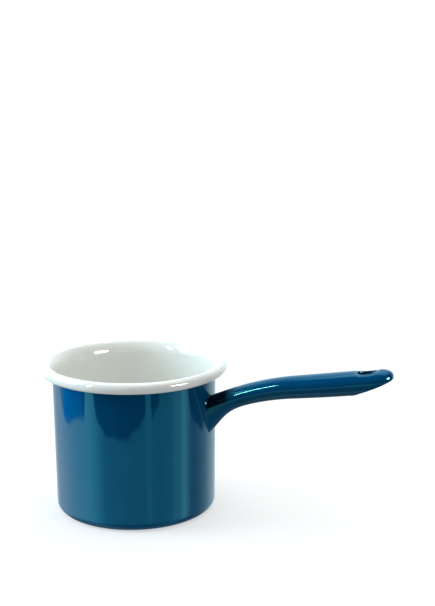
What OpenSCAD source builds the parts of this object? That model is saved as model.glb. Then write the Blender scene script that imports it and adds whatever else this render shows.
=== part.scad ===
// Small one-handled pot of enamelled sheet steel for melting wax on a hob.
// The pot's axis is Z, the handle runs along +X, and the foot ring rests on z = 0.
// A "depth" is measured inwards from the finished outer surface of the enamel:
// outer coat, then steel, then inner coat.

/* [Pot] */
// Outside diameter of the wall, just under the rim
wall_dia = 112; // [90:1:140]
// Height of the rim's crest above the surface that the pot stands on
pot_height = 103.6; // [90:0.2:150]
// How much the wall's radius narrows from the rim down to the base
wall_taper = 0.9; // [0:0.1:3]
// Outside radius of the corner between the wall and the base
corner_r = 6; // [3:0.5:10]
// Width of the flat ring that the pot stands on
foot_w = 6; // [3:0.5:12]
// Height of the middle of the base above that ring
base_rise = 0.6; // [0.2:0.1:2]

/* [Rim] */
// How far the rolled bead stands out past the wall
rim_overhang = 7.9; // [6.5:0.1:10]
// Radius of the rolled bead over its enamel
bead_r = 3.7; // [3:0.1:4.8]
// Radius of the flare that leads from the wall to the bead, on the inside
flare_r = 12; // [10:0.5:16]
// Angle through which the bead is rolled past its outermost point, in degrees
curl_past = 138; // [90:1:145]

/* [Sheet and enamel] */
// Thickness of the pot's and handle's sheet steel
sheet_t = 1; // [0.6:0.1:1.2]
// Thickness of one coat of enamel
coat_t = 0.3; // [0.2:0.05:0.4]

/* [Handle] */
// Distance from the wall to the handle's tip
handle_reach = 124.6; // [100:0.2:160]
// Distance from the rim's crest down to the handle's back, at the wall
root_drop = 20.2; // [16:0.2:40]
// Slope of the handle's straight part above the level, in degrees
handle_slope = 9.6; // [0:0.1:15]
// Radius of the arc that brings the handle's back down to the pot
bend_r = 180; // [120:5:400]
// Distance from the wall over which the handle bends
bend_run = 58; // [30:1:80]
// Width of the handle at its neck
neck_w = 14.6; // [12:0.2:18]
// Depth of the handle at its neck
neck_h = 14.6; // [12:0.2:18]
// Width of the handle at its grip end
grip_w = 17.6; // [15:0.2:22]
// Depth of the handle at its grip end
grip_h = 16.2; // [14:0.2:20]
// Height of the rounded back above the handle's widest line
crown_h = 7; // [6:0.2:8]
// How far the root's underside drops below the neck's
root_flare = 11; // [4:0.5:16]
// Distance from the wall within which the root flares
root_flare_run = 9.7; // [6:0.1:14]
// Width of the open seam along the handle's underside
seam_gap = 0.8; // [0.4:0.1:2]
// Leg of the weld fillet round the handle's root
weld_leg = 1.6; // [1:0.1:2.4]

/* [Handle end] */
// Length of the slanting cut that opens the handle's underside
scarf_len = 29; // [20:1:36]
// How hollow the slanting cut is, from 0 for straight
scarf_bow = 0.15; // [0:0.05:0.4]
// Length of the rounded nose
nose_len = 14.8; // [10:0.2:18]
// Length of the hanging hole
hole_len = 12.6; // [10:0.2:16]
// Width of the hanging hole
hole_w = 8.4; // [6:0.2:10]
// Distance from the handle's tip to the middle of the hanging hole
hole_inset = 17.2; // [15:0.2:22]
// How deep the metal round the hanging hole is pressed in
hole_dish = 0.6; // [0:0.1:1.2]
// Width of the pressed border round the hanging hole
hole_border = 3.4; // [2:0.2:5]

/* [Hidden] */
$fn = 96;

steel_color = [0.56, 0.57, 0.58];
white_color = [0.93, 0.94, 0.92];
blue_color = [0.03, 0.31, 0.45];

// Depths of the layers through the wall
steel_out = coat_t;
steel_in = coat_t + sheet_t;
wall_t = steel_in + coat_t;

// Wall, base and rim
wall_r = wall_dia / 2;
base_r = wall_r - wall_taper;
corner_c = [base_r - corner_r, corner_r];
rise_w = 4;
bead_c = [wall_r + rim_overhang - bead_r, pot_height - bead_r];
flare_x = wall_r - wall_t + flare_r;
flare_c = [flare_x, bead_c.y - sqrt(pow(flare_r - bead_r, 2) - pow(flare_x - bead_c.x, 2))];
roll_start = atan2(bead_c.y - flare_c.y, bead_c.x - flare_c.x);
curl_end = -curl_past;
curl_cap = 8;
// Neighbouring arcs lap over each other by this angle, so that they join into one piece
arc_lap = 0.5;
blue_stop = 180 - asin((bead_c.y + bead_r * sin(curl_end) - flare_c.y) / (flare_r - wall_t));
arc_step = 30;

// Handle
root_z = pot_height - root_drop;
scarf_x = handle_reach - scarf_len;
nose_x = handle_reach - nose_len;
nose_power = 2.8;
flare_power = 1.6;
widen_from = 20;
saddle_run = 12;
hole_x = handle_reach - hole_inset;
around = 24;
root_rings = 13;
scarf_rings = 10;
nose_rings = 6;

function clamp01(t) = min(max(t, 0), 1);
function mix(a, b, t) = a + (b - a) * t;
function ease(t) = t * t * (3 - 2 * t);

// Outside radius of the wall at height z
function wall_at(z) = mix(base_r, wall_r, clamp01((z - corner_c.y) / (flare_c.y - corner_c.y)));

// Part of a flat ring between two angles, about a centre
module arc_band(centre, r_in, r_out, from, to) {
    steps = ceil((to - from) / arc_step);
    far = 2 * r_out;
    intersection() {
        difference() {
            translate(centre) circle(r_out);
            translate(centre) circle(r_in);
        }
        polygon(concat([centre], [
            for (i = [0 : steps])
                let (a = mix(from, to, i / steps))
                centre + far * [cos(a), sin(a)]
        ]));
    }
}

// Layer of the base, corner and wall between two depths
module cup_layer(d0, d1) {
    foot_in = corner_c.x - foot_w;
    polygon([
        [0, base_rise + d0], [foot_in - rise_w, base_rise + d0], [foot_in, d0], [corner_c.x, d0],
        [corner_c.x, d1], [foot_in, d1], [foot_in - rise_w, base_rise + d1], [0, base_rise + d1]
    ]);
    arc_band(corner_c, corner_r - d1, corner_r - d0, -90, 0);
    polygon([
        [base_r - d0, corner_c.y], [wall_r - d0, flare_c.y],
        [wall_r - d1, flare_c.y], [base_r - d1, corner_c.y]
    ]);
}

// Layer of the flare under the rim between two depths, from an angle round to the wall
module flare_layer(d0, d1, from) {
    arc_band(flare_c, flare_r - wall_t + d0, flare_r - wall_t + d1, from, 180);
}

// Layer of the rolled bead between two depths, from an angle round to the flare
module bead_layer(d0, d1, from) {
    arc_band(bead_c, bead_r - wall_t + d0, bead_r - wall_t + d1, from, roll_start + arc_lap);
}

// Pressed steel pot, with its edge flared and rolled over into a bead
module vessel() {
    color(steel_color) rotate_extrude() {
        cup_layer(steel_out, steel_in);
        flare_layer(steel_out, steel_in, roll_start);
        bead_layer(steel_out, steel_in, curl_end);
    }
}

// White enamel on the inside and over the bead, wrapped round the sheet's edge
module inside_enamel() {
    color(white_color) rotate_extrude() {
        cup_layer(steel_in, wall_t);
        flare_layer(steel_in, wall_t, roll_start);
        bead_layer(steel_in, wall_t, curl_end);
        arc_band(bead_c, bead_r - wall_t + steel_out, bead_r, curl_end - curl_cap, curl_end);
    }
}

// Blue enamel on the base and wall, left open where the handle is welded on
module outside_enamel() {
    color(blue_color) difference() {
        rotate_extrude() {
            cup_layer(0, steel_out);
            flare_layer(0, steel_out, blue_stop);
        }
        translate([wall_r / 2, 0, 0]) rotate([90, 0, 90])
            linear_extrude(wall_r) polygon([for (p = weld_ring(0, weld_leg)) [p.y, p.z]]);
    }
}

// Height of the handle's back: a straight slope with an arc down to the pot
function back_z(x) = root_z + tan(handle_slope) * x
    + (pow(bend_run, 2) - pow(max(bend_run - x, 0), 2)) / (2 * bend_r);

// The handle's depth and width grow smoothly from the neck to the grip
function growth(x) = ease(clamp01((x - widen_from) / (scarf_x - widen_from)));
function depth_at(x) = mix(neck_h, grip_h, growth(x));
function width_at(x) = mix(neck_w, grip_w, growth(x));

// The root's underside hangs lower along a bell curve
function root_hang(x) = root_flare * exp(-pow(x / root_flare_run, flare_power));

// Height of the slanting cut, lowered by the enamel on its edge and reaching the nose's tip
function scarf_z(x, edge) =
    let (
        s = clamp01((x - scarf_x) / scarf_len),
        low = back_z(scarf_x) - depth_at(scarf_x),
        high = back_z(handle_reach) - crown_h
    )
    mix(low, high, (1 - scarf_bow) * s + scarf_bow * s * s) - edge * (1 - s);

// How far the pressed border lowers the metal near the hanging hole
function dish_at(x, y) =
    let (
        along = max(abs(x - hole_x) - (hole_len - hole_w) / 2, 0),
        away = norm([along, y]) - hole_w / 2
    )
    hole_dish * (1 - ease(clamp01(away / hole_border)));

// Stations along the handle, as [distance from the wall, share of the full section]
function stations(depth, first) = concat(
    [[first, 1], [weld_leg * (1 - cos(45)), 1]],
    [for (i = [0 : root_rings - 1]) [mix(weld_leg, scarf_x, pow(i / root_rings, 1.4)), 1]],
    [for (i = [0 : scarf_rings - 1]) [mix(scarf_x, nose_x, i / scarf_rings), 1]],
    [
        for (i = [0 : nose_rings - 1])
            let (a = 90 * i / nose_rings)
            [mix(nose_x, handle_reach - depth, pow(sin(a), 2 / nose_power)), pow(cos(a), 2 / nose_power)]
    ]
);

// Point of the handle's section at a distance from the wall: round above, deeper below
function section_point(x, share, depth, angle, lift = 0) =
    let (
        below = depth_at(x) + root_hang(x) - crown_h,
        half_h = ((cos(angle) > 0 ? crown_h : below) - depth) * share,
        y = (width_at(x) / 2 - depth) * share * sin(angle),
        mid_z = back_z(x) - crown_h,
        z = mid_z + half_h * cos(angle) - (cos(angle) > 0 ? dish_at(x, y) : 0),
        seat = sqrt(pow(wall_at(z) - steel_out, 2) - y * y)
    )
    [x + mix(wall_at(root_z), seat, clamp01(1 - x / saddle_run)), y, z];

// Half the angle that the sheet covers: up to the seam, or up to the slanting cut
function cover(x, share, depth, edge) =
    let (
        seam = 180 - asin((seam_gap / 2 + coat_t - edge) / (width_at(x) / 2 - depth)),
        rise = scarf_z(x, edge) - back_z(x) + crown_h,
        half_h = ((rise > 0 ? crown_h : depth_at(x) - crown_h) - depth) * share
    )
    x < scarf_x ? seam : min(seam, acos(min(max(rise / half_h, -1), 1)));

// One skin of the handle: rings of points from root to nose, with the tip last.
// fillet is the leg of the weld that the skin runs over, and first is its first station.
function skin(depth, edge, fillet, first) = concat(
    [
        for (s = stations(depth, first))
            let (
                half = cover(s[0], s[1], depth, edge),
                out = fillet_at(s[0], fillet)
            )
            for (i = [0 : around])
                section_point(s[0], s[1], depth - out, half * (2 * i / around - 1))
    ],
    [section_point(handle_reach - depth, 0, depth, 0)]
);

// Width of a hollow fillet at a distance from the wall
function fillet_at(x, leg) = leg <= 0 || x >= leg ? 0 : leg - sqrt(leg * leg - pow(leg - x, 2));

// Faces of one skin, and of the strips that join two skins along their edges and roots
function skin_faces(rings, base, flip) =
    let (w = around + 1, tip = base + rings * w)
    concat(
        [
            for (r = [0 : rings - 2], i = [0 : around - 1])
                let (a = base + r * w + i)
                each two_triangles(a, a + 1, a + w + 1, a + w, flip)
        ],
        [
            for (i = [0 : around - 1])
                let (a = tip - w + i)
                flip ? [a, tip, a + 1] : [a, a + 1, tip]
        ]
    );

function edge_faces(rings, outer, inner, flip) =
    let (w = around + 1, out_tip = outer + rings * w, in_tip = inner + rings * w)
    [
        for (side = [0, around])
            let (turn = side == 0 ? flip : !flip)
            for (r = [0 : rings - 1])
                let (
                    a = outer + r * w + side,
                    b = r < rings - 1 ? a + w : out_tip,
                    c = inner + r * w + side,
                    d = r < rings - 1 ? c + w : in_tip
                )
                each two_triangles(a, b, d, c, turn)
    ];

function root_faces(outer, inner, flip) = [
    for (i = [0 : around - 1])
        each two_triangles(outer + i, inner + i, inner + i + 1, outer + i + 1, flip)
];

function two_triangles(a, b, c, d, flip) = flip ? [[a, c, b], [a, d, c]] : [[a, b, c], [a, c, d]];

ring_count = 2 + root_rings + scarf_rings + nose_rings;
skin_points = ring_count * (around + 1) + 1;

// Hanging hole, straight down through the handle's back, made larger all round by margin
module hanging_hole(margin) {
    shift = (hole_len - hole_w) / 2;
    half_w = hole_w / 2 + margin;
    floor_z = scarf_z(hole_x, 0);
    translate([wall_at(root_z) + hole_x, 0, floor_z]) {
        for (side = [-1, 1])
            translate([side * shift, 0, 0]) cylinder(h = 2 * grip_h, r = half_w);
        translate([-shift, -half_w, 0]) cube([2 * shift, 2 * half_w, 2 * grip_h]);
    }
}

// Tube between two depths of the handle, with an open seam below and cut on a slant
module handle_sheet(d0, d1) {
    outer = 0;
    inner = skin_points;
    polyhedron(
        points = concat(skin(d0, 0, 0, 0), skin(d1, 0, 0, 0)),
        faces = concat(
            skin_faces(ring_count, outer, false),
            skin_faces(ring_count, inner, true),
            edge_faces(ring_count, outer, inner, false),
            root_faces(outer, inner, false)
        ),
        convexity = 6
    );
}

// Handle of rolled sheet steel, its hole larger than the finished one by the enamel on its edge
module handle() {
    color(steel_color) difference() {
        handle_sheet(steel_out, steel_in);
        hanging_hole(coat_t);
    }
}

// Enamel on both sides of the handle's sheet and round its edges, before the hole
module handle_coats() {
    over = 0;
    steel_over = skin_points;
    steel_under = 2 * skin_points;
    under = 3 * skin_points;
    polyhedron(
        points = concat(
            skin(0, coat_t, weld_leg, coat_t),
            skin(steel_out, 0, weld_leg, coat_t),
            skin(steel_in, 0, 0, coat_t),
            skin(wall_t, coat_t, 0, coat_t)
        ),
        faces = concat(
            skin_faces(ring_count, over, false),
            skin_faces(ring_count, steel_over, true),
            skin_faces(ring_count, steel_under, false),
            skin_faces(ring_count, under, true),
            edge_faces(ring_count, over, under, false),
            edge_faces(ring_count, steel_over, steel_under, true),
            root_faces(over, steel_over, false),
            root_faces(steel_under, under, false),
            root_ends(over, steel_over, steel_under, under)
        ),
        convexity = 10
    );
}

// Blue enamel of the handle, joined through the hole by the enamel on the hole's edge
module handle_enamel() {
    lap = coat_t / 2;
    color(blue_color) difference() {
        union() {
            handle_coats();
            intersection() {
                handle_sheet(lap, wall_t - lap);
                hanging_hole(coat_t);
            }
        }
        hanging_hole(0);
    }
}

// The coat is open at the root, so these close it beside the seam
function root_ends(a, b, c, d) = [
    for (side = [0, around])
        each two_triangles(a + side, b + side, c + side, d + side, side == 0)
];

// Closed ring of points round the handle's root, at a distance from the wall and out from the steel
function weld_ring(x, out) = [
    for (i = [0 : around - 1])
        section_point(x, 1, steel_out - out, 360 * i / around)
];

// Weld that joins the handle's root to the wall
module handle_weld() {
    mid = weld_leg * (1 - cos(45));
    rows = [weld_ring(0, 0), weld_ring(weld_leg, 0), weld_ring(mid, mid), weld_ring(0, weld_leg)];
    sides = len(rows);
    color(steel_color) polyhedron(
        points = [for (row = rows) each row],
        faces = [
            for (r = [0 : sides - 1], i = [0 : around - 1])
                let (n = (r + 1) % sides, j = (i + 1) % around)
                each two_triangles(
                    r * around + i, r * around + j, n * around + j, n * around + i, true
                )
        ],
        convexity = 4
    );
}

vessel();
inside_enamel();
outside_enamel();
handle();
handle_weld();
handle_enamel();
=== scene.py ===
import bpy
import numpy as np
from math import atan2, cos, degrees, pi, radians, sin, sqrt, tan
from mathutils import Matrix, Vector


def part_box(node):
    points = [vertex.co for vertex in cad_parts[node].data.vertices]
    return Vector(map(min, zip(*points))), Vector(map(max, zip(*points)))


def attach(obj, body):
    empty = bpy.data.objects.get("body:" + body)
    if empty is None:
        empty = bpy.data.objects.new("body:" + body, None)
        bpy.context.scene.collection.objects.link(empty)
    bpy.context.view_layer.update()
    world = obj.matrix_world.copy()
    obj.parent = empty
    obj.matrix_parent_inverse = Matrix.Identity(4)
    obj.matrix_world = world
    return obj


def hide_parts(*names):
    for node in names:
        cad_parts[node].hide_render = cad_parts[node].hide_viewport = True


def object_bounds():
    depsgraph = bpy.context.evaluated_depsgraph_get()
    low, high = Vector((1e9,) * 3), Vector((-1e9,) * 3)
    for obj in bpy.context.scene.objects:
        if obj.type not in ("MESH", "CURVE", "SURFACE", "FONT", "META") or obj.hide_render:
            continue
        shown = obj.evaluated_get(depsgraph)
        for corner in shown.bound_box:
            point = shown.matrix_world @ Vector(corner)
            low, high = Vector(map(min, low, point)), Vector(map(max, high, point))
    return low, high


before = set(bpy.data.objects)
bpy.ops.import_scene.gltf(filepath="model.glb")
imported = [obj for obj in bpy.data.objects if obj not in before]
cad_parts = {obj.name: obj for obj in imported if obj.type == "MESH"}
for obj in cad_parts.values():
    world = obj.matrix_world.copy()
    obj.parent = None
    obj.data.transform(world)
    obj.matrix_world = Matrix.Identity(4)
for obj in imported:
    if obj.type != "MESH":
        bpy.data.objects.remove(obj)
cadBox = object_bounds()
print("frame loaded")

mm = 0.001   # every size below is in millimetres, every mesh in metres


# sRGB hex text to linear red, green, blue and 1: c/12.92 near black, else ((c + 0.055)/1.055)^2.4
def hexColor(text):
    c = np.array([int(text[i:i + 2], 16) for i in (1, 3, 5)]) / 255
    linear = np.where(c <= 0.04045, c / 12.92, ((c + 0.055) / 1.055) ** 2.4)
    return (*linear.tolist(), 1.0)


# adds a node, sets its own settings, then its input values and its links
def addNode(tree, kind, settings=None, values=None, links=None):
    node = tree.nodes.new(kind)
    for name, value in (settings or {}).items():
        setattr(node, name, value)
    for name, value in (values or {}).items():
        node.inputs[name].default_value = value
    for name, socket in (links or {}).items():
        tree.links.new(socket, node.inputs[name])
    return node


view = {
    "spot": (332.1, -728.8, 310.9),   # where the camera stands
    "azimuth": 110.375,               # where it looks: degrees from +X, and down from level
    "down": 11.86,
    "tilt": 0.286,
    "lens": 71.29, "sensor": 36,
    "farthest": 50,                   # metres
}


def makeCamera():
    az, down, roll = (radians(view[k]) for k in ("azimuth", "down", "tilt"))
    forward = Vector((cos(az) * cos(down), sin(az) * cos(down), -sin(down)))
    right = Vector((sin(az), -cos(az), 0))
    up = right.cross(forward)
    right, up = cos(roll) * right - sin(roll) * up, sin(roll) * right + cos(roll) * up
    data = bpy.data.cameras.new("camera")
    data.lens = view["lens"]
    data.sensor_width = view["sensor"]
    data.sensor_fit = "AUTO"
    data.clip_end = view["farthest"]
    camera = bpy.data.objects.new("camera", data)
    turn = Matrix((right, up, -forward)).transposed().to_4x4()
    camera.matrix_world = Matrix.Translation(Vector(view["spot"]) * mm) @ turn
    bpy.context.scene.collection.objects.link(camera)
    bpy.context.scene.camera = camera
    bpy.context.scene.view_settings.view_transform = "Standard"


paper = {
    "side": 9000, "hex": "#fafafa", "rough": 0.9, "shine": 0.1,
    "glow": 1.05,                         # a little over 1, so that it comes out pure white
    "glowFrom": 50, "glowFull": 500,      # distances from the pot between which the glow grows
    "glowNear": 0.5,                      # its share close to the pot, where the shadow shows
}


# matt white paper. It glows more with distance, so that it meets the white of the room, and it throws
# no light or mirror image back, because the room's light comes from below as well
def paleFloor():
    half = paper["side"] / 2 * mm
    low = cadBox[0][2]
    mesh = bpy.data.meshes.new("floor")
    mesh.from_pydata([(-half, -half, low), (half, -half, low), (half, half, low), (-half, half, low)],
                     [], [(0, 1, 2, 3)])
    floor = bpy.data.objects.new("floor", mesh)
    bpy.context.scene.collection.objects.link(floor)
    material = bpy.data.materials.new("matt white paper")
    material.use_nodes = True
    tree = material.node_tree
    shader = tree.nodes["Principled BSDF"]
    shader.inputs["Base Color"].default_value = hexColor(paper["hex"])
    shader.inputs["Roughness"].default_value = paper["rough"]
    shader.inputs["Specular IOR Level"].default_value = paper["shine"]
    where = addNode(tree, "ShaderNodeTexCoord").outputs["Object"]
    away = addNode(tree, "ShaderNodeVectorMath", {"operation": "LENGTH"}, None, {0: where})
    far = addNode(tree, "ShaderNodeMapRange", {"interpolation_type": "SMOOTHSTEP"},
                  {"From Min": paper["glowFrom"] * mm, "From Max": paper["glowFull"] * mm,
                   "To Min": paper["glowNear"], "To Max": 1}, {"Value": away.outputs["Value"]})
    glow = addNode(tree, "ShaderNodeEmission", None, {"Color": (1, 1, 1, 1), "Strength": paper["glow"]})
    blend = addNode(tree, "ShaderNodeMixShader", None, None,
                    {0: far.outputs["Result"], 1: shader.outputs[0], 2: glow.outputs[0]})
    tree.links.new(blend.outputs[0], tree.nodes["Material Output"].inputs["Surface"])
    mesh.materials.append(material)
    floor.visible_glossy = floor.visible_diffuse = False


# brightness and angles of the room. An azimuth is in degrees from +X, and down is degrees below level
room = {
    "white": 1.05,                        # what the camera sees of it, pure white
    # soft light from all round, weakest from the front and strongest from behind the pot
    "softHex": "#f7fbff", "softFront": 0.425, "softBack": 1.1475,
    # the bright wall that the gloss sees behind the pot: its middle, its glow there and in front, and
    # the cosines of the angle from its middle at which it starts and is full
    "backAzimuth": 115, "backUp": 12, "backGlow": 1.5, "frontGlow": 0.05, "backFrom": 0.1, "backFull": 0.85,
    "glossHex": "#ddf6ff",
    # what the gloss sees of the table all round: azimuth and brightness
    "tableGlow": ((0, 1.6), (7, 2.6), (12, 1.7), (20, 0.6), (28, 0.5), (52, 0.9), (65, 1.2), (90, 1.1),
                  (150, 0.9), (158, 1.1), (174, 1.5), (190, 1.9), (213, 2.4), (225, 2.7), (238, 2.0),
                  (250, 1.1), (287, 1.0), (308, 1.0), (311, 1.3), (315, 1.3), (318, 1.0), (329, 0.9),
                  (345, 1.0), (352, 1.5)),
    # the pot's own shade on the table: it starts and is full at these angles down, and leaves this share
    "shadeFrom": 23, "shadeFull": 42, "shadeLeaves": 0.3,
    # where the table ends: azimuth and down
    "tableEdge": ((0, 16.8), (14, 17.0), (22, 18.2), (46, 18.6), (56, 16.5), (100, 15.0), (160, 15.5),
                  (176, 17.7), (190, 18.1), (205, 18.0), (219, 18.1), (222, 16.4), (233, 16.6), (239, 18.3),
                  (252, 19.2), (282, 19.5), (300, 18.9), (308, 18.4), (311, 16.6), (315, 16.7),
                  (318, 18.5), (327, 17.8), (335, 16.5)),
    "edgeSoft": 0.12,                     # half the width over which the edge fades
    "edgeWander": 0.18,                   # how far it wanders up and down, and how often
    "wanderScale": 9, "wanderDetail": 3,
    # a blue screen low on the left, past the table: azimuth and share, and where its top fades in
    "screen": ((0, 0), (170, 0), (178, 1), (214, 1), (222, 0)),
    "screenTop": 8, "screenFull": 13, "screenGlow": 2.6, "screenHex": "#008be0",
}


# a value against the turn round the circle, from pairs of degrees and value. The ramp holds each
# value as a share of the largest one, and ends on its first value
def roundRamp(tree, turn, pairs):
    largest = max(value for _, value in pairs)
    ramp = addNode(tree, "ShaderNodeValToRGB", None, None, {"Fac": turn})
    stops = ramp.color_ramp.elements
    stops.remove(stops[1])
    for degree, value in (*pairs, (360, pairs[0][1])):
        stop = stops[0] if degree == 0 else stops.new(degree / 360)
        stop.color = (value / largest, value / largest, value / largest, 1)
    return addNode(tree, "ShaderNodeMath", {"operation": "MULTIPLY"}, {1: largest},
                   {0: ramp.outputs["Color"]}).outputs[0]


# a direction's turn round the circle from +X, 0 to 1, and its degrees below level
def wayAngles(tree, way):
    axes = addNode(tree, "ShaderNodeSeparateXYZ", None, None, {0: way})
    bearing = addNode(tree, "ShaderNodeMath", {"operation": "ARCTAN2"}, None,
                      {0: axes.outputs["Y"], 1: axes.outputs["X"]})
    turns = addNode(tree, "ShaderNodeMath", {"operation": "DIVIDE"}, {1: 2 * pi}, {0: bearing.outputs[0]})
    turn = addNode(tree, "ShaderNodeMath", {"operation": "FRACT"}, None, {0: turns.outputs[0]})
    rise = addNode(tree, "ShaderNodeMath", {"operation": "ARCSINE"}, None, {0: axes.outputs["Z"]})
    down = addNode(tree, "ShaderNodeMath", {"operation": "MULTIPLY"}, {1: -degrees(1)},
                   {0: rise.outputs[0]})
    return turn.outputs[0], down.outputs[0]


# the table in the gloss: 1 on it and 0 past its ragged edge, and how bright it is
def tableSeen(tree, way, turn, down):
    ragged = addNode(tree, "ShaderNodeTexNoise", None,
                     {"Scale": room["wanderScale"], "Detail": room["wanderDetail"]}, {"Vector": way})
    wander = addNode(tree, "ShaderNodeMath", {"operation": "MULTIPLY_ADD"},
                     {1: 2 * room["edgeWander"], 2: -room["edgeWander"]}, {0: ragged.outputs["Fac"]})
    edge = addNode(tree, "ShaderNodeMath", {"operation": "SUBTRACT"}, None,
                   {0: down, 1: roundRamp(tree, turn, room["tableEdge"])})
    nearer = addNode(tree, "ShaderNodeMath", {"operation": "ADD"}, None,
                     {0: edge.outputs[0], 1: wander.outputs[0]})
    onTable = addNode(tree, "ShaderNodeMapRange", {"interpolation_type": "SMOOTHSTEP"},
                      {"From Min": -room["edgeSoft"], "From Max": room["edgeSoft"]},
                      {"Value": nearer.outputs[0]})
    shade = addNode(tree, "ShaderNodeMapRange", {"interpolation_type": "SMOOTHSTEP"},
                    {"From Min": room["shadeFrom"], "From Max": room["shadeFull"],
                     "To Min": 1, "To Max": room["shadeLeaves"]}, {"Value": down})
    bright = addNode(tree, "ShaderNodeMath", {"operation": "MULTIPLY"}, None,
                     {0: shade.outputs["Result"], 1: roundRamp(tree, turn, room["tableGlow"])})
    return onTable.outputs["Result"], bright.outputs[0]


# how much of the blue screen shows: what the table doesn't hide
def screenSeen(tree, turn, down, onTable):
    low = addNode(tree, "ShaderNodeMapRange", None,
                  {"From Min": room["screenTop"], "From Max": room["screenFull"]}, {"Value": down})
    whole = addNode(tree, "ShaderNodeMath", {"operation": "MULTIPLY"}, None,
                    {0: low.outputs["Result"], 1: roundRamp(tree, turn, room["screen"])})
    hidden = addNode(tree, "ShaderNodeMath", {"operation": "MULTIPLY"}, None,
                     {0: whole.outputs[0], 1: onTable})
    return addNode(tree, "ShaderNodeMath", {"operation": "SUBTRACT"}, None,
                   {0: whole.outputs[0], 1: hidden.outputs[0]}).outputs[0]


# the camera sees plain white, and matt surfaces get soft light. The gloss mirrors a room: a bright
# table with a ragged far edge, dark beyond it in front, a bright wall at the back, and the blue screen
def roomLight():
    world = bpy.data.worlds.new("studio")
    bpy.context.scene.world = world
    world.use_nodes = True
    tree = world.node_tree
    tree.nodes.clear()
    way = addNode(tree, "ShaderNodeTexCoord").outputs["Generated"]
    turn, down = wayAngles(tree, way)
    az, up = radians(room["backAzimuth"]), radians(room["backUp"])
    back = (cos(az) * cos(up), sin(az) * cos(up), sin(up))
    facing = addNode(tree, "ShaderNodeVectorMath", {"operation": "DOT_PRODUCT"}, {1: back}, {0: way})
    around = addNode(tree, "ShaderNodeMapRange", None,
                     {"From Min": -1, "From Max": 1,
                      "To Min": room["softFront"], "To Max": room["softBack"]},
                     {"Value": facing.outputs["Value"]})
    beyond = addNode(tree, "ShaderNodeMapRange", {"interpolation_type": "SMOOTHSTEP"},
                     {"From Min": room["backFrom"], "From Max": room["backFull"],
                      "To Min": room["frontGlow"], "To Max": room["backGlow"]},
                     {"Value": facing.outputs["Value"]})
    onTable, bright = tableSeen(tree, way, turn, down)
    glow = addNode(tree, "ShaderNodeMix", {"data_type": "FLOAT"}, None,
                   {0: onTable, 2: beyond.outputs["Result"], 3: bright})
    plain = addNode(tree, "ShaderNodeBackground", None, {"Color": hexColor(room["glossHex"])},
                    {"Strength": glow.outputs[0]})
    blue = addNode(tree, "ShaderNodeBackground", None,
                   {"Color": hexColor(room["screenHex"]), "Strength": room["screenGlow"]})
    gloss = addNode(tree, "ShaderNodeMixShader", None, None,
                    {0: screenSeen(tree, turn, down, onTable), 1: plain.outputs[0], 2: blue.outputs[0]})
    soft = addNode(tree, "ShaderNodeBackground", None, {"Color": hexColor(room["softHex"])},
                   {"Strength": around.outputs["Result"]})
    white = addNode(tree, "ShaderNodeBackground", None, {"Color": (1, 1, 1, 1), "Strength": room["white"]})
    path = addNode(tree, "ShaderNodeLightPath")
    lit = addNode(tree, "ShaderNodeMixShader", None, None,
                  {0: path.outputs["Is Glossy Ray"], 1: soft.outputs[0], 2: gloss.outputs[0]})
    seen = addNode(tree, "ShaderNodeMixShader", None, None,
                   {0: path.outputs["Is Camera Ray"], 1: lit.outputs[0], 2: white.outputs[0]})
    addNode(tree, "ShaderNodeOutputWorld", None, None, {"Surface": seen.outputs[0]})


lampAim = (20, 0, 60)   # the point that every lamp faces

# soft panels, their power in watts. The last two light nothing: the gloss alone shows them, as a
# spot on the handle's tip and a streak along it
lamps = {
    "keyLeft": {"spot": (-1050, -382, 600), "size": (800, 800), "power": 14.5,
                "hex": "#cdefff", "lights": True},
    "topLight": {"spot": (100, 200, 1300), "size": (1200, 900), "power": 5.5,
                 "hex": "#fffcf6", "lights": True},
    "glint": {"spot": (447, -104, 199), "size": (160, 100), "power": 6.5,
              "hex": "#ffdcc0", "lights": False},
    "strip": {"spot": (-474, -703, 561), "size": (44, 330), "power": 5.0,
              "hex": "#ffccb0", "lights": False},
}


def placeLamps():
    for name, lamp in lamps.items():
        data = bpy.data.lights.new(name, "AREA")
        data.shape = "RECTANGLE"
        data.size, data.size_y = (s * mm for s in lamp["size"])
        data.energy = lamp["power"]
        data.color = hexColor(lamp["hex"])[:3]
        panel = bpy.data.objects.new(name, data)
        spot = Vector(lamp["spot"]) * mm
        aim = Vector(lampAim) * mm - spot
        panel.matrix_world = Matrix.Translation(spot) @ aim.to_track_quat("-Z", "Y").to_matrix().to_4x4()
        panel.visible_camera = False
        panel.visible_diffuse = lamp["lights"]
        bpy.context.scene.collection.objects.link(panel)


makeCamera()
paleFloor()
roomLight()
placeLamps()
print("camera, floor and lights placed")


enamel = {
    "blueDeep": "#013a5f", "blueLight": "#014873", "blueDark": "#01070d", "blueRough": 0.03,
    "blueGloss": "#60ecff",   # colour of what deep blue glass mirrors when it is looked at squarely
    "whiteWarm": "#e7e6dd", "whiteCool": "#edeeea", "whiteDark": "#c9cbc6", "whiteRough": 0.09,
    "smoothShare": 0.8, "roughShare": 1.3,   # of that roughness, in the cloud's two colours
    "ior": 1.54,
    "cloud": 16,              # size of the slow change of colour in the glaze
    "peel": 2.4,              # spacing of the ripples left by the melted glass, and their depth
    "peelDepth": 0.001,
    "sag": 14,                # spacing of the slow waves where the slip ran before firing, and their depth
    "sagDepth": 0.014,
    "pit": 9,                 # mean spacing of the pinholes, their width, colour and strength
    "pitWidth": 0.35, "pitHex": "#1c2226", "pitShade": 0.55,
}


# new material with its Principled shader and object coordinates
def startMaterial(name):
    material = bpy.data.materials.new(name)
    material.use_nodes = True
    tree = material.node_tree
    where = addNode(tree, "ShaderNodeTexCoord").outputs["Object"]
    return material, tree, tree.nodes["Principled BSDF"], where


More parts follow.
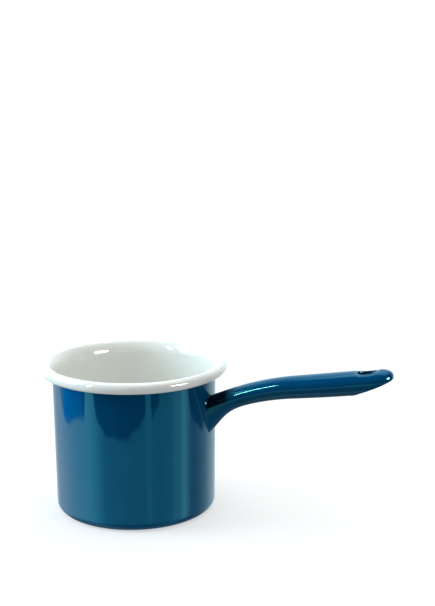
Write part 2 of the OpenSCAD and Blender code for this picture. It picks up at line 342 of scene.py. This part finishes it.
# vitreous enamel: coloured glass melted on to steel. Two waves of bump make its ripple, the gloss
# stays high, rare pinholes darken it, and a piece's darkening attribute marks where the glaze is thin
# and paints shade on the handle's root and the sides of its grip
def enamelMaterial(name, hexA, hexB, hexDark, roughness):
    material, tree, shader, where = startMaterial(name)
    cloud = addNode(tree, "ShaderNodeTexNoise", None, {"Scale": 1 / (enamel["cloud"] * mm), "Detail": 3},
                    {"Vector": where})
    body = addNode(tree, "ShaderNodeMix", {"data_type": "RGBA"},
                   {6: hexColor(hexA), 7: hexColor(hexB)}, {0: cloud.outputs["Fac"]})
    # painted shade and thin glaze, read from the piece's darkening attribute, mix the dark colour in
    dark = addNode(tree, "ShaderNodeAttribute", {"attribute_name": "darkGlaze"})
    shaded = addNode(tree, "ShaderNodeMix", {"data_type": "RGBA"}, {7: hexColor(hexDark)},
                     {0: dark.outputs["Fac"], 6: body.outputs[2]})
    cells = addNode(tree, "ShaderNodeTexVoronoi", None, {"Scale": 1 / (enamel["pit"] * mm)},
                    {"Vector": where})
    pit = addNode(tree, "ShaderNodeMapRange", None,
                  {"From Min": 0, "From Max": enamel["pitWidth"] / enamel["pit"] / 2,
                   "To Min": enamel["pitShade"], "To Max": 0}, {"Value": cells.outputs["Distance"]})
    pitted = addNode(tree, "ShaderNodeMix", {"data_type": "RGBA"}, {7: hexColor(enamel["pitHex"])},
                     {0: pit.outputs["Result"], 6: shaded.outputs[2]})
    tree.links.new(pitted.outputs[2], shader.inputs["Base Color"])
    satin = addNode(tree, "ShaderNodeMapRange", None,
                    {"To Min": roughness * enamel["smoothShare"],
                     "To Max": roughness * enamel["roughShare"]}, {"Value": cloud.outputs["Fac"]})
    tree.links.new(satin.outputs["Result"], shader.inputs["Roughness"])
    waves = addNode(tree, "ShaderNodeTexNoise", None, {"Scale": 1 / (enamel["sag"] * mm)},
                    {"Vector": where})
    sag = addNode(tree, "ShaderNodeBump", None, {"Distance": enamel["sagDepth"] * mm, "Strength": 1},
                  {"Height": waves.outputs["Fac"]})
    ripples = addNode(tree, "ShaderNodeTexNoise", None, {"Scale": 1 / (enamel["peel"] * mm)},
                      {"Vector": where})
    peel = addNode(tree, "ShaderNodeBump", None, {"Distance": enamel["peelDepth"] * mm, "Strength": 1},
                   {"Height": ripples.outputs["Fac"], "Normal": sag.outputs["Normal"]})
    tree.links.new(peel.outputs["Normal"], shader.inputs["Normal"])
    shader.inputs["IOR"].default_value = enamel["ior"]
    return material


sheetLook = {
    "hexA": "#6f7376", "hexB": "#94989a", "smoothest": 0.32, "roughest": 0.5,
    "grain": 1.2,      # spacing of the rolling lines, and how much closer they lie up and down
    "stretch": 9,
}


# cold-rolled sheet steel, pickled before enamelling: grey, satin, with faint rolling lines
def sheetSteel():
    material, tree, shader, where = startMaterial("pickled sheet steel")
    stretched = addNode(tree, "ShaderNodeMapping", None, {"Scale": (1, 1, sheetLook["stretch"])},
                        {"Vector": where})
    grain = addNode(tree, "ShaderNodeTexNoise", None, {"Scale": 1 / (sheetLook["grain"] * mm), "Detail": 4},
                    {"Vector": stretched.outputs["Vector"]}).outputs["Fac"]
    tone = addNode(tree, "ShaderNodeMix", {"data_type": "RGBA"},
                   {6: hexColor(sheetLook["hexA"]), 7: hexColor(sheetLook["hexB"])}, {0: grain})
    tree.links.new(tone.outputs[2], shader.inputs["Base Color"])
    satin = addNode(tree, "ShaderNodeMapRange", None,
                    {"To Min": sheetLook["smoothest"], "To Max": sheetLook["roughest"]}, {"Value": grain})
    tree.links.new(satin.outputs["Result"], shader.inputs["Roughness"])
    shader.inputs["Metallic"].default_value = 1.0
    return material


blueEnamel = enamelMaterial("petrol blue vitreous enamel", enamel["blueDeep"], enamel["blueLight"],
                            enamel["blueDark"], enamel["blueRough"])
blueShader = blueEnamel.node_tree.nodes["Principled BSDF"]
blueShader.inputs["Specular Tint"].default_value = hexColor(enamel["blueGloss"])
whiteEnamel = enamelMaterial("white vitreous enamel", enamel["whiteWarm"], enamel["whiteCool"],
                             enamel["whiteDark"], enamel["whiteRough"])
steel = sheetSteel()
for nodeName in ("vessel", "handle", "handle_weld"):
    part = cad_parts[nodeName]
    part.data.materials.clear()
    part.data.materials.append(steel)
print("materials made")


# one grid of points, rows by columns, as points and quads; closed joins the last column to the first
def gridQuads(points, closed=False, flip=False):
    rows, cols = points.shape[:2]
    index = np.arange(rows * cols).reshape(rows, cols)
    if closed:
        index = np.concatenate([index, index[:, :1]], axis=1)
    a, b, c, d = index[:-1, :-1], index[:-1, 1:], index[1:, 1:], index[1:, :-1]
    quads = np.stack([a, b, c, d], -1).reshape(-1, 4)
    return points.reshape(-1, 3), quads[:, ::-1] if flip else quads


# joins grids into one mesh: points nearer than a ten-thousandth of a millimetre become one,
# and a quad that lost a side becomes a triangle. dark holds each point's darkening: thin glaze and painted
# shade
def weldGrids(name, grids, dark=None):
    points = np.concatenate([g[0] for g in grids])
    starts = np.cumsum([0] + [len(g[0]) for g in grids[:-1]])
    quads = np.concatenate([g[1] + s for g, s in zip(grids, starts)])
    _, first, back = np.unique(np.round(points, 4), axis=0, return_index=True, return_inverse=True)
    quads = back.reshape(-1)[quads]
    keep = quads != np.roll(quads, 1, axis=1)
    count = keep.sum(1)
    quads, keep, count = quads[count >= 3], keep[count >= 3], count[count >= 3]
    loops = quads[keep]
    mesh = bpy.data.meshes.new(name)
    mesh.vertices.add(len(first))
    mesh.vertices.foreach_set("co", (points[first] * mm).ravel())
    mesh.loops.add(len(loops))
    mesh.loops.foreach_set("vertex_index", loops)
    mesh.polygons.add(len(count))
    mesh.polygons.foreach_set("loop_start", np.concatenate([[0], np.cumsum(count)[:-1]]))
    mesh.polygons.foreach_set("use_smooth", np.ones(len(count), bool))
    mesh.update(calc_edges=True)
    mesh.validate()
    if dark is not None:
        mesh.attributes.new("darkGlaze", "FLOAT", "POINT").data.foreach_set("value", dark[first])
    piece = bpy.data.objects.new(name, mesh)
    bpy.context.scene.collection.objects.link(piece)
    return piece


# an arc in the plane: centre + radius (cos a, sin a), a running evenly between two angles in degrees
def arc(centre, radius, start, end, steps):
    a = np.radians(np.linspace(start, end, steps + 1))
    return np.stack([centre[0] + radius * np.cos(a), centre[1] + radius * np.sin(a)], -1)


# a closed skin of revolution: each (r, z) of the profile becomes r (cos t, sin t) at height z
def revolve(profile, turns):
    t = np.linspace(0, 2 * pi, turns, endpoint=False)[None]
    r, z = profile[:, :1], profile[:, 1:]
    return np.stack([r * np.cos(t), r * np.sin(t), z + 0 * t], -1)


# smooth step from 0 to 1: t t (3 - 2 t)
def ease(t):
    t = np.clip(t, 0, 1)
    return t * t * (3 - 2 * t)


# the value a share t of the way from a to b: a + (b - a) t
def mix(a, b, t):
    return a + (b - a) * t


whiteBox = np.array(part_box("inside_enamel")) / mm

pot = {
    "wallR": 56.0, "taper": 0.9,          # wall under the flare, and how much narrower the foot is
    "cornerR": 6.0, "footW": 6.0,         # corner, and the ring that the pot stands on
    "baseRise": 0.6, "riseW": 4.0,        # the base is pressed up inside that ring
    "height": whiteBox[1][2], "rimR": -whiteBox[0][0],
    "beadR": 3.7, "flareR": 12.0,
    "curlPast": 138.0,                    # degrees that the bead curls down past its outermost line
    "edgeBulge": 0.13,                    # radians by which the coat rounds the sheet's edge
    # depths under the outside: of the blue coat's back, the steel's back and the white coat's face
    "coat": 0.3, "steelIn": 1.3, "wallT": 1.6,
    "turns": 288,                         # facets round the pot
}
pot["baseR"] = pot["wallR"] - pot["taper"]
cornerC = (pot["baseR"] - pot["cornerR"], pot["cornerR"])
beadC = (pot["rimR"] - pot["beadR"], pot["height"] - pot["beadR"])
flareX = pot["wallR"] - pot["wallT"] + pot["flareR"]
flareC = (flareX, beadC[1] - sqrt((pot["flareR"] - pot["beadR"]) ** 2 - (flareX - beadC[0]) ** 2))
rollStart = degrees(atan2(beadC[1] - flareC[1], beadC[0] - flareC[0]))
curlZ = beadC[1] - pot["beadR"] * sin(radians(pot["curlPast"]))
blueStop = 180 - degrees(np.arcsin((curlZ - flareC[1]) / (pot["flareR"] - pot["wallT"])))


# radius of the finished wall at height z, a straight taper between the corner and the flare
def wallAt(z):
    return mix(pot["baseR"], pot["wallR"], np.clip((z - cornerC[1]) / (flareC[1] - cornerC[1]), 0, 1))


# profile of the base, corner and wall at a depth under the outer surface, from the axis upwards: a
# flat with an eased step, a quarter circle and a straight line
def cupLine(depth):
    footIn = cornerC[0] - pot["footW"]
    riseIn = footIn - pot["riseW"]
    r = np.concatenate([np.linspace(0, riseIn, 14), np.linspace(riseIn, footIn, 9)[1:],
                        np.linspace(footIn, cornerC[0], 6)[1:]])
    z = depth + pot["baseRise"] * (1 - ease((r - riseIn) / pot["riseW"]))
    corner = arc(cornerC, pot["cornerR"] - depth, -90, 0, steps=14)[1:]
    up = np.linspace(cornerC[1], flareC[1], 26)[1:]
    wall = np.stack([wallAt(up) - depth, up], -1)
    return np.concatenate([np.stack([r, z], -1), corner, wall])


# the flare at a depth, from the wall's top round to an angle in degrees
def flareLine(depth, end, steps):
    return arc(flareC, pot["flareR"] - pot["wallT"] + depth, 180, end, steps)[1:]


# white coat: its inner face runs up over the bead, round the sheet's edge, and back along the steel
def whiteProfile():
    bead = arc(beadC, pot["beadR"], rollStart, -pot["curlPast"], steps=44)[1:]
    inner = pot["beadR"] - pot["wallT"] + pot["coat"]
    middle, half = (pot["beadR"] + inner) / 2, (pot["beadR"] - inner) / 2
    a = np.linspace(0, pi, 9)[1:-1]
    curl = radians(-pot["curlPast"]) - pot["edgeBulge"] * np.sin(a)
    cap = np.stack([beadC[0] + (middle + half * np.cos(a)) * np.cos(curl),
                    beadC[1] + (middle + half * np.cos(a)) * np.sin(curl)], -1)
    tip = arc(beadC, inner, -pot["curlPast"], -pot["curlPast"], steps=0)
    behind = arc(beadC, pot["beadR"] - pot["coat"], -pot["curlPast"], rollStart, steps=40)
    flareBack = flareLine(pot["steelIn"], rollStart, steps=10)[::-1][1:]
    flareFront = flareLine(pot["wallT"], rollStart, steps=12)
    return np.concatenate([cupLine(pot["wallT"]), flareFront, bead, cap, tip,
                           behind, flareBack, cupLine(pot["steelIn"])[::-1]])


# blue coat: up the outside to just under the bead, and back down along the steel
def blueProfile():
    out, back = flareLine(0, blueStop, steps=8), flareLine(pot["coat"], blueStop, steps=8)
    return np.concatenate([cupLine(0), out, back[::-1], cupLine(pot["coat"])[::-1]])


# gives a piece its material, puts it in the frame's root body and hides the CAD node that it stands for
def handOver(piece, material, node):
    piece.data.materials.append(material)
    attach(piece, "root")
    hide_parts(node)


def makePot():
    white = gridQuads(revolve(whiteProfile(), pot["turns"]), closed=True, flip=True)
    handOver(weldGrids("whiteCoat", [white]), whiteEnamel, "inside_enamel")
    blue = gridQuads(revolve(blueProfile(), pot["turns"]), closed=True)
    handOver(weldGrids("blueCoat", [blue]), blueEnamel, "outside_enamel")


makePot()
print("pot coated")


# x runs along the handle from the wall's radius
handle = {
    "reach": 124.5, "rootDrop": 20.24,               # its length, and its root's place under the rim
    "slope": 9.6, "bendR": 180.0, "bendRun": 58.0,   # degrees of its back, and the bend down to the pot
    "neckW": 14.6, "neckH": 14.6, "gripW": 17.6, "gripH": 16.2, "widenFrom": 20.0,
    "crown": 7.0,                                    # height of the flatter half over the middle
    "rootFlare": 11.0, "flareRun": 9.7, "flarePower": 1.6,   # how the root widens downwards
    "saddleRun": 12.0,                               # length over which the root bends to the wall
    "seamGap": 0.8,                                  # open seam along the underside
    "weldLeg": 1.6,                                  # width of the weld round the root
    "weldLumps": ((0.10, 5, 0.6), (0.09, 11, 2.1)),  # share of the width, lumps round it and their turn
    "cutLength": 28.9, "cutBow": 0.15,               # slanting cut under the end
    "lipDrop": -0.06, "lipRise": 0.55, "lipRun": 0.35,   # room left for the rounded edge along the cut
    "noseLength": 14.7, "nosePower": 2.8,
    "holeLength": 12.6, "holeWidth": 8.4, "holeInset": 17.1, "holeDish": 0.6, "holeBorder": 3.4,
    "patchBack": 9.6, "patchFront": 9.0,             # the skin made anew round the hole, from its middle
    "patchLeft": 0.29, "patchRight": 0.71,           # and its sides, as shares of the way across
    "edgeR": 0.8,                                    # round edge of the coated sheet, half its thickness
    "buried": 0.15,                                  # how deep the root is sunk in the wall's coat
    "across": 96,                                    # facets across the sheet
    "along": (12, 70, 44, 40),                       # and along the weld, the tube, the cut and the nose
    "patchRows": 13,                                 # lines round the hole in its patch
}
rootZ = pot["height"] - handle["rootDrop"]
cutX = handle["reach"] - handle["cutLength"]
noseX = handle["reach"] - handle["noseLength"]
holeX = handle["reach"] - handle["holeInset"]


# height of the back: a straight slope, plus (run^2 - (run - x)^2) / 2R for the bend down to the pot
def backZ(x):
    run = handle["bendRun"]
    return (rootZ + tan(radians(handle["slope"])) * x
            + (run ** 2 - np.maximum(run - x, 0) ** 2) / (2 * handle["bendR"]))


# share of the change from neck to grip, an ease that is full at the cut
def growth(x):
    return ease((x - handle["widenFrom"]) / (cutX - handle["widenFrom"]))


# height and width of the whole section at x
def depthAt(x):
    return mix(handle["neckH"], handle["gripH"], growth(x))


def widthAt(x):
    return mix(handle["neckW"], handle["gripW"], growth(x))


# how far the underside hangs lower at the root, a bell curve: f exp(-(x / run)^p)
def rootHang(x):
    return handle["rootFlare"] * np.exp(-(x / handle["flareRun"]) ** handle["flarePower"])


# height at which the slanting cut ends the sheet: from the underside up to the middle in a slight
# bow, (1 - b) s + b s s, raised by the room for the rounded edge
def cutZ(x):
    s = np.clip((x - cutX) / handle["cutLength"], 0, 1)
    low = backZ(cutX) - depthAt(cutX)
    high = backZ(handle["reach"]) - handle["crown"]
    bow = handle["cutBow"]
    spare = mix(handle["lipDrop"], handle["lipRise"], ease(s / handle["lipRun"]))
    return mix(low, high, (1 - bow) * s + bow * s * s) + spare


# share of the full section along the nose: a superellipse, (1 - u^p)^(1/p)
def shareAt(x, depth):
    u = np.clip((x - noseX) / (handle["reach"] - depth - noseX), 0, 1)
    return (1 - u ** handle["nosePower"]) ** (1 / handle["nosePower"])


# how far the pressed border lowers the sheet round the hole, an ease of the distance to its outline
def dishAt(x, y):
    along = np.maximum(abs(x - holeX) - (handle["holeLength"] - handle["holeWidth"]) / 2, 0)
    away = np.hypot(along, y) - handle["holeWidth"] / 2
    return handle["holeDish"] * (1 - ease(away / handle["holeBorder"]))


# point of the section: y = w sin a, z = mid + h cos a, with a flatter half above the middle than
# below it, and x bent to the round wall at the root
def sectionPoint(x, share, depth, angle):
    c = np.cos(angle)
    below = depthAt(x) + rootHang(x) - handle["crown"]
    halfH = (np.where(c > 0, handle["crown"], below) - depth) * share
    y = (widthAt(x) / 2 - depth) * share * np.sin(angle)
    z = backZ(x) - handle["crown"] + halfH * c - np.where(c > 0, dishAt(x, y), 0)
    seat = np.sqrt((wallAt(z) - pot["coat"]) ** 2 - y * y)
    base = mix(wallAt(rootZ), seat, np.clip(1 - x / handle["saddleRun"], 0, 1))
    return np.stack([x + base, y, z], -1)


# how far the weld's hollow fillet stands out at x: a quarter circle, leg - sqrt(leg^2 - (leg - x)^2),
# whose leg swells and thins round the root in two sine waves
def filletAt(x, angle):
    leg = handle["weldLeg"] * (1 + sum(size * np.sin(count * angle + turn)
                                       for size, count, turn in handle["weldLumps"]))
    near = np.clip(leg - x, 0, None)
    return np.where(x < leg, leg - np.sqrt(np.maximum(leg ** 2 - near ** 2, 0)), 0)


# half the angle that the sheet covers, up to the seam's edge, pi - asin(y / w), or up to the
# slanting cut, acos(z / h), whichever comes first
def coverAt(x, share, depth):
    seamY = handle["seamGap"] / 2 + handle["edgeR"]
    seam = pi - np.arcsin(np.clip(seamY / (widthAt(x) / 2 - depth), 0, 1))
    rise = cutZ(x) - backZ(x) + handle["crown"]
    halfH = (np.where(rise > 0, handle["crown"], depthAt(x) - handle["crown"]) - depth) * share
    cut = np.arccos(np.clip(rise / np.maximum(halfH, 1e-6), -1, 1))
    return np.where(x < cutX, seam, np.minimum(seam, cut))


# stations along the handle. On the weld, the tube and the cut a power crowds them at the start. On
# the nose x = sin(a)^(2/p) of its length, up to the a at which the cut meets the nose's top
def stationsAt(depth):
    first = pot["coat"] - handle["buried"]
    weldEnd = 1.3 * handle["weldLeg"]      # past its widest lump
    tip = handle["reach"] - depth
    weldRows, tubeRows, cutRows, noseRows = handle["along"]
    weld = mix(first, weldEnd, np.linspace(0, 1, weldRows, endpoint=False) ** 1.5)
    tube = mix(weldEnd, cutX, np.linspace(0, 1, tubeRows, endpoint=False) ** 1.3)
    cut = mix(cutX, noseX, np.linspace(0, 1, cutRows, endpoint=False) ** 1.2)
    power = 2 / handle["nosePower"]
    fine = np.linspace(0, pi / 2, 4001)    # many tries of a, to find that one
    x = mix(noseX, tip, np.sin(fine) ** power)
    gap = (handle["crown"] - depth) * np.cos(fine) ** power - (cutZ(x) - backZ(x) + handle["crown"])
    last = np.interp(0, -gap, fine)
    a = last * (1 - np.linspace(1, 0, noseRows) ** 2)
    return np.concatenate([weld, tube, cut, mix(noseX, tip, np.sin(a) ** power)])


# one skin of the sheet at a depth: rows along the handle, columns from edge to edge over the back. A
# fillet moves the skin outwards, which is the same as a smaller depth
def skinGrid(depth, withFillet):
    x = stationsAt(depth)
    share = shareAt(x, depth)
    half = coverAt(x, share, depth)
    half[-1] = 0   # the cut's two sides meet there
    angle = half[:, None] * np.linspace(-1, 1, handle["across"] + 1)[None]
    out = filletAt(x[:, None], angle) if withFillet else 0
    return x, angle, sectionPoint(x[:, None], share[:, None], depth - out, angle)


# distance from the hole's middle to its outline in direction t: to the flat side, or to a round end
def holeRadius(t, r):
    flat = (handle["holeLength"] - handle["holeWidth"]) / 2
    c, s = abs(np.cos(t)), abs(np.sin(t))
    side = r / np.maximum(s, 1e-9)
    end = flat * c + np.sqrt(np.maximum(r ** 2 - (flat * s) ** 2, 0))
    return np.where(side * c <= flat, side, end)


# rows and columns of the skin that the hole's patch takes the place of
def patchBlock(x):
    rowA, rowB = np.searchsorted(x, (holeX - handle["patchBack"], holeX + handle["patchFront"]))
    colA, colB = (round(handle["across"] * handle[k]) for k in ("patchLeft", "patchRight"))
    return rowA, rowB, colA, colB


# the row and column of each point round that block's border, in order
def blockBorder(rowA, rowB, colA, colB):
    rows, columns = np.arange(rowA, rowB), np.arange(colA, colB)
    i = np.concatenate([rows, np.full(len(columns), rowB), rows[::-1] + 1, np.full(len(columns), rowA)])
    j = np.concatenate([np.full(len(rows), colA), columns, np.full(len(rows), colB), columns[::-1] + 1])
    return i, j


# the skin round the hole: straight lines in (x, y) from the border to the hole's outline, a little
# more crowded there, then lifted on to the section by a = asin(y / w)
def holePatch(x, grid, depth, border, bearing):
    i, j = border
    xb = x[i]
    yb = grid[i, j, 1]
    rim = holeRadius(bearing, handle["holeWidth"] / 2 + handle["edgeR"])
    xr, yr = holeX + rim * np.cos(bearing), rim * np.sin(bearing)
    t = np.linspace(0, 1, handle["patchRows"])[:, None] ** 0.8
    xs, ys = mix(xb, xr, t), mix(yb, yr, t)
    share = shareAt(xs, depth)
    lifted = sectionPoint(xs, share, depth, np.arcsin(ys / ((widthAt(xs) / 2 - depth) * share)))
    lifted[0] = grid[i, j]
    return lifted


# rounded edge between the border lines of two skins: mid + A cos a + r c sin a, where A is half the
# way between the skins and c is at right angles to A and to the edge
def roundEdge(outer, inner, outwards, closed=False, steps=8):
    mid, half = (outer + inner) / 2, (outer - inner) / 2
    if closed:
        along = np.roll(mid, -1, axis=0) - np.roll(mid, 1, axis=0)
    else:
        along = np.gradient(mid, axis=0)
    c = np.cross(along, half)
    c /= np.linalg.norm(c, axis=1)[:, None]
    a = np.linspace(0, pi, steps + 1)[:, None, None]
    rows = mid + half * np.cos(a) + outwards * handle["edgeR"] * c * np.sin(a)
    rows[0], rows[-1] = outer, inner
    return rows


# how dark the handle's glaze is made, from 0 to 1, and where: painted shade on the root and down the grip's
# sides, thin glaze on the rounded edges. Up and down is the cosine of the section's angle
glaze = {
    "root": 0.945, "rootEnd": 11, "rootFade": 8,     # painted shade over the weld, where the rim and wall keep light off, and how far along it reaches
    "rootLow": -0.45, "rootHigh": 0.05,              # it fades in between these, going up
    "side": 0.42, "sideStart": 12, "sideFade": 12,   # painted shade down the sides of the grip
    "sideLow": -0.18, "sideHigh": 0.22,              # it fades out between these, going up
    "hole": 0.42, "lip": 0.7,                        # on the rounded edges, where it is drawn thin
}


# painted shade on the back and sides of the root, under the rim and against the wall, and painted
# shade down the sides of the grip: each is an ease along the handle times an ease round it
def darkAt(x, angle):
    c = np.cos(angle)
    root = (1 - ease((x - glaze["rootEnd"]) / glaze["rootFade"])) * ease(
        (c - glaze["rootLow"]) / (glaze["rootHigh"] - glaze["rootLow"]))
    side = ease((x - glaze["sideStart"]) / glaze["sideFade"]) * ease(
        (glaze["sideHigh"] - c) / (glaze["sideHigh"] - glaze["sideLow"]))
    return glaze["root"] * root + glaze["side"] * side


# darkness of a rounded edge's points, most in its middle: d sin a
def edgeDark(edge, most):
    return np.repeat(most * np.sin(np.linspace(0, pi, edge.shape[0])), edge.shape[1])


def makeHandle():
    xo, angleO, outer = skinGrid(0, True)
    xi, _, inner = skinGrid(pot["wallT"], False)
    rowA, rowB, colA, colB = patchBlock(xo)
    border = blockBorder(rowA, rowB, colA, colB)
    bearing = np.arctan2(outer[(*border, 1)], xo[border[0]] - holeX)
    place = np.arange((outer.shape[0] - 1) * handle["across"])
    row, col = place // handle["across"], place % handle["across"]
    kept = (row < rowA) | (row >= rowB) | (col < colA) | (col >= colB)
    grids, dark, hole = [], [], []
    for x, grid, depth, inside in ((xo, outer, 0, False), (xi, inner, pot["wallT"], True)):
        points, quads = gridQuads(grid, flip=not inside)
        patch = holePatch(x, grid, depth, border, bearing)
        grids += [(points, quads[kept]), gridQuads(patch, closed=True, flip=inside)]
        hole.append(patch[-1])
        dark += [np.zeros(len(points)), np.zeros(patch.shape[0] * patch.shape[1])]
    # the outer skin carries painted shade on the root and down the grip's sides
    dark[0] = darkAt(xo[:, None], angleO).ravel()
    holeEdge = roundEdge(hole[0], hole[1], -1, closed=True)
    grids.append(gridQuads(holeEdge, closed=True))
    dark.append(edgeDark(holeEdge, glaze["hole"]))
    # the sheet's open edge runs out along one side of the seam, round the tip and back
    lips = [np.concatenate([g[:, 0], g[-2::-1, -1]]) for g in (outer, inner)]
    sheetEdge = roundEdge(lips[0], lips[1], 1)
    grids.append(gridQuads(sheetEdge, flip=True))
    dark.append(edgeDark(sheetEdge, glaze["lip"]))
    # the root is closed inside the wall's coat
    grids.append(gridQuads(np.stack([outer[0], inner[0]])))
    dark.append(np.zeros(2 * outer.shape[1]))
    # the rounded edge's two ends are closed there too, each half of it joined to the other
    middle = len(sheetEdge) // 2
    for side in (0, -1):
        lip = sheetEdge[:, side]
        pairs = np.stack([lip[:middle + 1], lip[:middle - 1:-1]])
        grids.append(gridQuads(pairs, flip=side == 0))
        dark.append(np.zeros(2 * (middle + 1)))
    piece = weldGrids("handleCoat", grids, np.concatenate(dark))
    handOver(piece, blueEnamel, "handle_enamel")


makeHandle()
print("handle coated")
